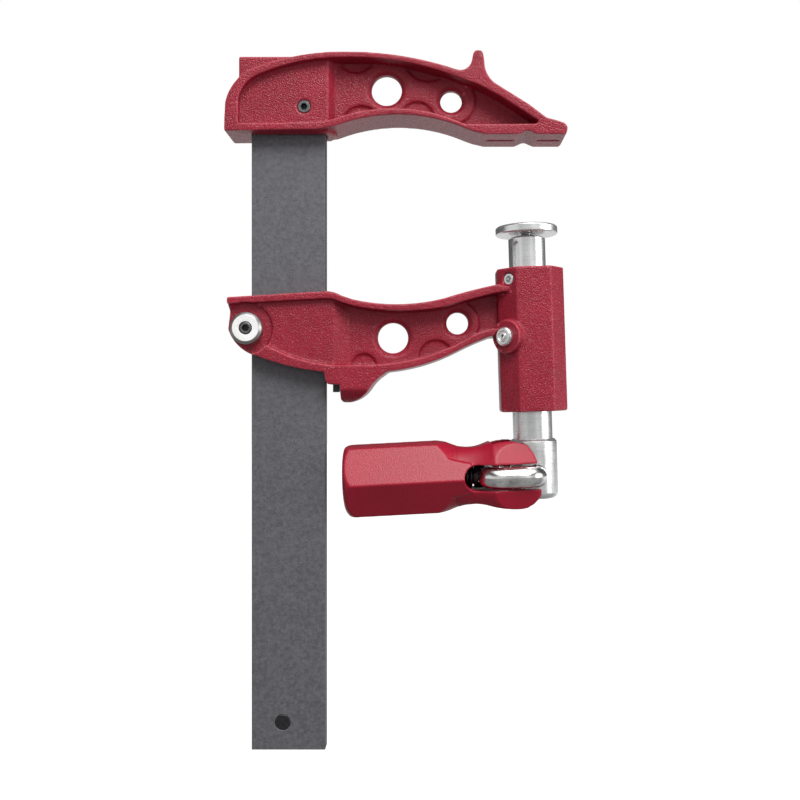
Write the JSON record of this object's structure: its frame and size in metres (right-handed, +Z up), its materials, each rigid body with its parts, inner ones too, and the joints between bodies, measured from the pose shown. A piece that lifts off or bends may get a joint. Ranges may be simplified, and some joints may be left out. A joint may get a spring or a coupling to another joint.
{
  "type": "f clamp",
  "caption": "Steel bar clamp with a cast fixed jaw, a sliding arm, a keyed telescopic plunger with a swivel pad, and a folding handle on a steel link.",
  "frame": {"origin": "centre of the flat bar's lower end face", "axes": "+X from the bar towards the jaw noses, +Y from the front to the rear through the bar's thickness, +Z up along the bar towards the fixed jaw"},
  "size_m": [0.1613, 0.043, 0.3294],
  "materials": {
    "bar_steel": "dark drawn steel, matte",
    "cast_paint": "crimson fine hammered paint on cast iron",
    "zinc_plate": "bright zinc plate, turned",
    "turned_steel": "bright turned and ground steel",
    "black_steel": "blackened steel",
    "link_steel": "polished dark steel",
    "handle_shell": "red satin moulded nylon",
    "bronze": "sintered bronze"
  },
  "bodies": {
    "frame": {"bar": "bar_steel", "fixed_jaw": "cast_paint", "jaw_screw": "black_steel", "bar_stop_pin": "black_steel"},
    "arm": {"sliding_arm": "cast_paint", "bearing_pin": "turned_steel", "bearing_disc_front": "turned_steel", "bearing_disc_rear": "turned_steel", "bearing_screw_front": "black_steel", "bearing_screw_rear": "black_steel", "brake_pivot_pin": "black_steel", "brake_spring": "black_steel", "key_screw": "zinc_plate", "grease_nipple": "zinc_plate", "nipple_spring": "zinc_plate"},
    "brake": {"brake_shoe": "black_steel"},
    "nipple_ball": {"nipple_ball": "turned_steel"},
    "plunger": {"plunger": "zinc_plate"},
    "pad_cup": {"pad_seat_ring": "turned_steel"},
    "pad": {"swivel_pad": "zinc_plate"},
    "spindle": {"spindle": "zinc_plate", "spindle_ferrule": "zinc_plate", "thrust_washer": "bronze", "spindle_circlip": "black_steel"},
    "link": {"handle_link": "link_steel", "spring_cup": "black_steel"},
    "handle": {"handle": "handle_shell", "handle_spring": "black_steel"}
  },
  "joints": [
    {"name": "arm_slide", "type": "slide", "parent": "frame", "child": "arm", "axis": [0, 0, 1], "range_m": [-0.165, 0.022]},
    {"name": "brake_rock", "type": "hinge", "parent": "arm", "child": "brake", "pos_m": [0.0229, 0, 0.1954], "axis": [0, -1, 0], "range_deg": [0, 2.8], "stiffness_Nm_per_rad": 0.5, "springref_deg": -5.73, "deforming": ["brake_spring"]},
    {"name": "spindle_turn", "type": "hinge", "parent": "arm", "child": "spindle", "pos_m": [0.117, 0, 0.1306], "axis": [-0.0321, 0, 0.9995], "range_deg": [-1255, 1435]},
    {"name": "plunger_feed", "type": "slide", "parent": "arm", "child": "plunger", "axis": [-0.0321, 0, 0.9995], "range_m": [-0.014, 0.016]},
    {"name": "pad_spin", "type": "hinge", "parent": "plunger", "child": "pad_cup", "pos_m": [0.11355, 0, 0.23805], "axis": [-0.0321, 0, 0.9995], "continuous": true},
    {"name": "pad_tilt", "type": "hinge", "parent": "pad_cup", "child": "pad", "pos_m": [0.11355, 0, 0.23805], "axis": [0, 1, 0], "range_deg": [-5, 5]},
    {"name": "handle_fold", "type": "hinge", "parent": "spindle", "child": "link", "pos_m": [0.117, 0, 0.1306], "axis": [0, -1, 0], "range_deg": [0, 180]},
    {"name": "handle_push", "type": "slide", "parent": "link", "child": "handle", "axis": [0.9995, 0, 0.0321], "range_m": [0, 0.004], "stiffness_N_per_m": 1500, "springref_m": -0.004, "deforming": ["handle_spring"]},
    {"name": "nipple_ball_press", "type": "slide", "parent": "arm", "child": "nipple_ball", "axis": [0.6816, 0.7314, 0.0219], "range_m": [0, 0.0004], "stiffness_N_per_m": 200, "springref_m": -0.0004, "deforming": ["nipple_spring"]}
  ],
  "couplings": [
    {"joint": "plunger_feed", "follows": "spindle_turn", "m_per_rad": 0.00063662}
  ]
}
